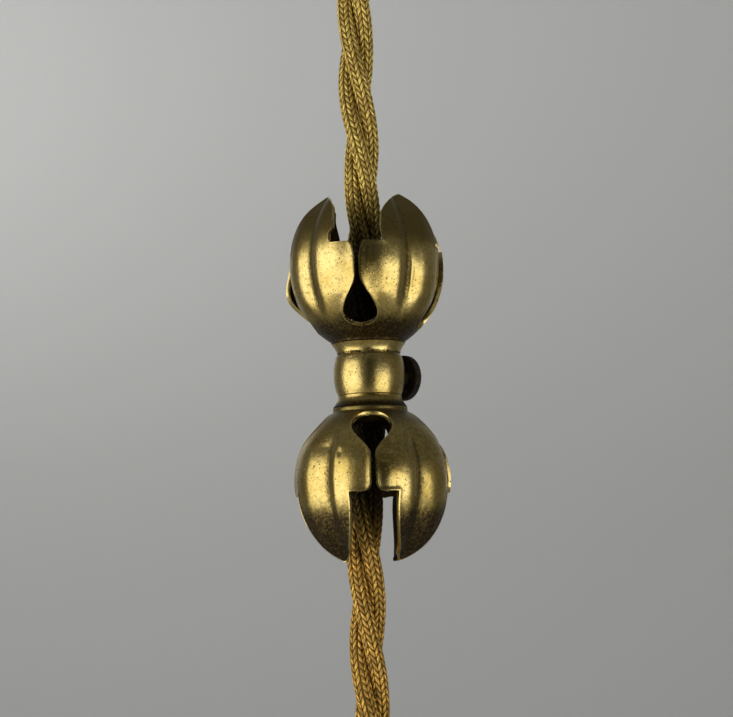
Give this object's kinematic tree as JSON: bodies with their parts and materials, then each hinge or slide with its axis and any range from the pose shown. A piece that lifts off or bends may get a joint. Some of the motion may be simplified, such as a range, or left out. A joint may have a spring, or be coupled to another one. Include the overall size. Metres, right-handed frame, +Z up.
{
  "type": "pendant lamp cord adjuster",
  "caption": "Clamp that slides on a twisted silk-covered pendant cord: a turned brass barrel with a milled thumbscrew between two open petal-shaped brass cups, cord held between two grips.",
  "frame": {"origin": "on the axis of the ceiling grip's spigot, at the shoulder that the ceiling fitting seats on", "axes": "+Z up along the cord, +X the way the thumbscrew points"},
  "size_m": [0.0274, 0.0274, 0.186],
  "materials": {
    "sheet_brass": "thin formed sheet, worn bright on the petals, brown dirt in the folds and at the foot",
    "turned_brass": "turned and polished, fine rings, dark lines in the grooves",
    "dark_screw": "black-brown patina, milled rim rubbed bright on the crests",
    "gold_braid": "glossy silk braid, golden yellow",
    "grip_brass": "turned, satin",
    "bare_copper": "bare stranded copper"
  },
  "bodies": {
    "cord": {"ceiling_cord_grip": "grip_brass", "ceiling_grip_screw": "grip_brass", "ceiling_wire_ends": "bare_copper", "core_1": "gold_braid", "core_2": "gold_braid", "core_3": "gold_braid", "lamp_cord_grip": "grip_brass", "lamp_grip_screw": "grip_brass", "lamp_wire_ends": "bare_copper"},
    "adjuster": {"upper_calyx": "sheet_brass", "upper_ring_nut": "turned_brass", "upper_collar": "turned_brass", "clamp_barrel": "turned_brass", "threaded_tube": "turned_brass", "lower_collar": "turned_brass", "lower_ring_nut": "turned_brass", "lower_calyx": "sheet_brass"},
    "pad": {"pressure_pad": "turned_brass"},
    "screw": {"thumb_screw": "dark_screw"}
  },
  "joints": [
    {"name": "adjuster_slide", "type": "slide", "parent": "cord", "child": "adjuster", "axis": [0, 0, 1], "range_m": [-0.003, 0.024]},
    {"name": "pad_slide", "type": "slide", "parent": "adjuster", "child": "pad", "axis": [1, 0, 0], "range_m": [0, 0.001]},
    {"name": "screw_turn", "type": "hinge", "parent": "pad", "child": "screw", "pos_m": [0.0005, 0, -0.088], "axis": [1, 0, 0], "range_deg": [0, 720.5]}
  ],
  "couplings": [
    {"joint": "screw_turn", "follows": "pad_slide", "rad_per_m": 12566}
  ]
}
